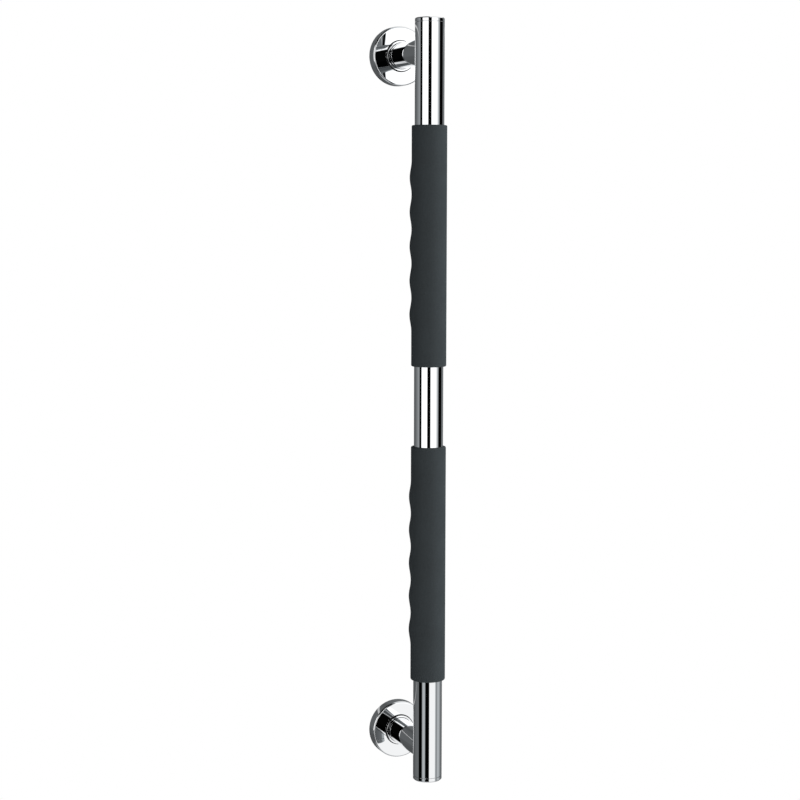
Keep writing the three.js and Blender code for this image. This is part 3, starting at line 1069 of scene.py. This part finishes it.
# brightness round the room, from 0 to 255, by azimuth in degrees: 0 straight out from the wall
# and positive to the right
roomSizes = {
    "white": 255,
    "strength": 1.25,
    "chrome": 0.92,  # what the plating gives back
    "coolFrom": 30,  # the greys between these two are cooler
    "coolTo": 200,
    "coolRed": 0.95,
    "coolBlue": 0.6,  # rise in blue for a fall in red
    "high": [
        (-180, 60), (-150, 45), (-100, 30), (-60, 20), (-40, 8), (-6, 8), (-2, 190), (40, 200),
        (60, 225), (140, 235), (160, 150), (180, 60),
    ],
    "level": [
        (-180, 92), (-165, 88), (-148, 95), (-133, 113), (-121, 128), (-110, 143), (-101, 143), (-99, 4),
        (-81, 4), (-79.5, 255), (-34.2, 255), (-32.8, 4), (-8.6, 4), (-7.2, 255), (36, 255), (41.5, 232),
        (51, 177), (59.5, 150), (61.5, 4), (97.5, 4), (99.5, 108), (118, 118), (150, 110), (180, 92),
    ],
    "below": [
        (-180, 82), (-149, 84), (-134, 99), (-121, 101), (-110, 103), (-98.5, 103), (-96.5, 1), (-69, 1),
        (-67, 150), (-63, 161), (-55, 180), (-47, 169), (-43, 160), (-41, 1), (-10.5, 1), (-9, 243),
        (38, 243), (43, 174), (53, 122), (63, 172), (74.5, 180), (87, 155), (102.5, 107), (180, 82),
    ],
    "low": [
        (-180, 78), (-149, 80), (-120, 84), (-98.5, 80), (-96.5, 1), (-69, 1), (-67, 120), (-43, 130),
        (-41, 1), (-5.5, 1), (-4, 243), (38, 238), (60, 160), (100, 96), (140, 84), (180, 78),
    ],
    "lowFrom": -19,  # elevations where one row of bands gives way to the next
    "lowTo": -21,
    "belowFrom": -9,
    "belowTo": -13,
    "highFrom": 25,
    "highTo": 31,
    "underfootFrom": -42,
    "underfootTo": -60,
    "underfoot": (0.35, 0.36, 0.37),
}


def linearLight(value):
    # from the screen's scale to linear light
    share = value / 255
    return share / 12.92 if share <= 0.04045 else ((share + 0.055) / 1.055) ** 2.4


def bandRamp(tree, turn, bands):
    s = roomSizes
    ramp = addNode(tree, "ValToRGB", {"Fac": turn})
    ramp.color_ramp.interpolation = "LINEAR"
    stops = ramp.color_ramp.elements
    while len(stops) < len(bands):
        stops.new(0.5)
    for stop, (azimuth, value) in zip(stops, bands):
        light = 1 if value == s["white"] else linearLight(value) / s["chrome"] / s["strength"]
        red = s["coolRed"] if s["coolFrom"] <= value <= s["coolTo"] else 1
        stop.color = (light * red, light, light * (1 + (1 - red) * s["coolBlue"]), 1)
    for stop, (azimuth, value) in zip(stops, bands):
        stop.position = azimuth / 360 + 0.5
    return ramp.outputs[0]


def sineOf(degrees):
    return math.sin(math.radians(degrees))


def addRoom():
    s = roomSizes
    world = bpy.data.worlds.new("studio")
    bpy.context.scene.world = world
    world.use_nodes = True
    tree = world.node_tree
    tree.nodes.clear()
    direction = addNode(tree, "TexCoord").outputs["Generated"]
    x, y, z = addNode(tree, "SeparateXYZ", {"Vector": direction}).outputs
    azimuth = calculate(tree, "ARCTAN2", x, calculate(tree, "MULTIPLY", y, -1))
    turn = calculate(tree, "ADD", calculate(tree, "DIVIDE", azimuth, fullTurn), 0.5)
    room = bandRamp(tree, turn, s["level"])
    for row in ("below", "low", "high"):
        share = remap(tree, z, sineOf(s[row + "From"]), sineOf(s[row + "To"]))
        room = tint(tree, share, room, bandRamp(tree, turn, s[row]))
    share = remap(tree, z, sineOf(s["underfootFrom"]), sineOf(s["underfootTo"]))
    room = tint(tree, share, room, s["underfoot"])
    studio = addNode(tree, "Background", {"Color": room, "Strength": s["strength"]})
    backdrop = addNode(tree, "Background", {"Color": (1, 1, 1, 1), "Strength": 1})
    seen = addNode(tree, "LightPath").outputs["Is Camera Ray"]
    both = addNode(tree, "MixShader", {0: seen, 1: studio.outputs[0], 2: backdrop.outputs[0]})
    output = addNode(tree, "OutputWorld")
    tree.links.new(both.outputs[0], output.inputs["Surface"])


lampSizes = {
    "right": {"azimuth": 78, "elevation": 12, "distance": 2.2, "size": 1.1, "power": 33},
    "rightTop": {"azimuth": 62, "elevation": 48, "distance": 2.2, "size": 0.8, "power": 5},
}


def addLamps():
    # soft lamps that only matt surfaces see
    for name, s in lampSizes.items():
        azimuth = math.radians(s["azimuth"])
        elevation = math.radians(s["elevation"])
        out = Vector((math.sin(azimuth), -math.cos(azimuth), math.tan(elevation))).normalized()
        selectNothing()
        bpy.ops.object.light_add(type="AREA", location=barMiddle + out * s["distance"])
        lamp = bpy.context.object
        lamp.name = name + "Lamp"
        lamp.rotation_euler = out.to_track_quat("Z", "Y").to_euler()
        lamp.data.size = s["size"]
        lamp.data.energy = s["power"]
        lamp.visible_glossy = False
        lamp.visible_camera = False


floorSizes = {
    "radius": 3,  # metres, as is the next
    "below": 1.45,
    "glow": 0.3,
    "shade": (0.86, 0.86, 0.85),
    "darker": (0.84, 0.84, 0.83),
    "lighter": (0.88, 0.88, 0.87),
    "roughness": 0.8,
}


def addFloor():
    s = floorSizes
    selectNothing()
    bpy.ops.mesh.primitive_circle_add(
        vertices=96, radius=s["radius"], fill_type="NGON", location=(0, 0, cadLow.z - s["below"]))
    floor = bpy.context.object
    floor.name = "floor"
    bpy.ops.object.transform_apply(location=True, rotation=True, scale=True)
    material, tree, shader, place = newMaterial("paleFloor", s["shade"])
    cloud = remap(tree, noise(tree, place, 1.5, 4), 0.3, 0.7)
    colour = tint(tree, cloud, s["darker"], s["lighter"])
    tree.links.new(colour, shader.inputs["Base Color"])
    shader.inputs["Roughness"].default_value = s["roughness"]
    shader.inputs["Emission Color"].default_value = (1, 1, 1, 1)
    shader.inputs["Emission Strength"].default_value = s["glow"]
    floor.data.materials.append(material)
    floor.visible_glossy = False  # the bar's own reflections come from the room


stripSizes = {
    "heights": (627, 20),  # from the lower fixing
    "behind": 0.5,  # the wall's plane
    "thickness": 2.2,
    "width": 900,
    "brightness": 0.5,
}


def addStrips():
    # bright edges of the boards behind, seen only in the chrome
    s = stripSizes
    material = bpy.data.materials.new("boardEdge")
    material.use_nodes = True
    tree = material.node_tree
    tree.nodes.clear()
    glow = addNode(tree, "Emission", {"Color": (1, 1, 1, 1), "Strength": s["brightness"]})
    output = addNode(tree, "OutputMaterial")
    tree.links.new(glow.outputs[0], output.inputs["Surface"])
    for i, height in enumerate(s["heights"]):
        selectNothing()
        place = wallPoint + (upward * height - toFront * s["behind"]) * mm
        bpy.ops.mesh.primitive_plane_add(size=mm, location=place, rotation=(math.pi / 2, 0, 0))
        strip = bpy.context.object
        strip.name = "boardEdge" + str(i)
        strip.scale = (s["width"], s["thickness"], 1)
        bpy.ops.object.transform_apply(location=True, rotation=True, scale=True)
        strip.data.materials.append(material)
        for way in ("camera", "diffuse", "shadow", "transmission", "volume_scatter"):
            setattr(strip, "visible_" + way, False)


addRoom()
addStrips()
addLamps()
addFloor()
bpy.context.scene.view_settings.view_transform = "Standard"
print("camera, room, lamps and floor made")
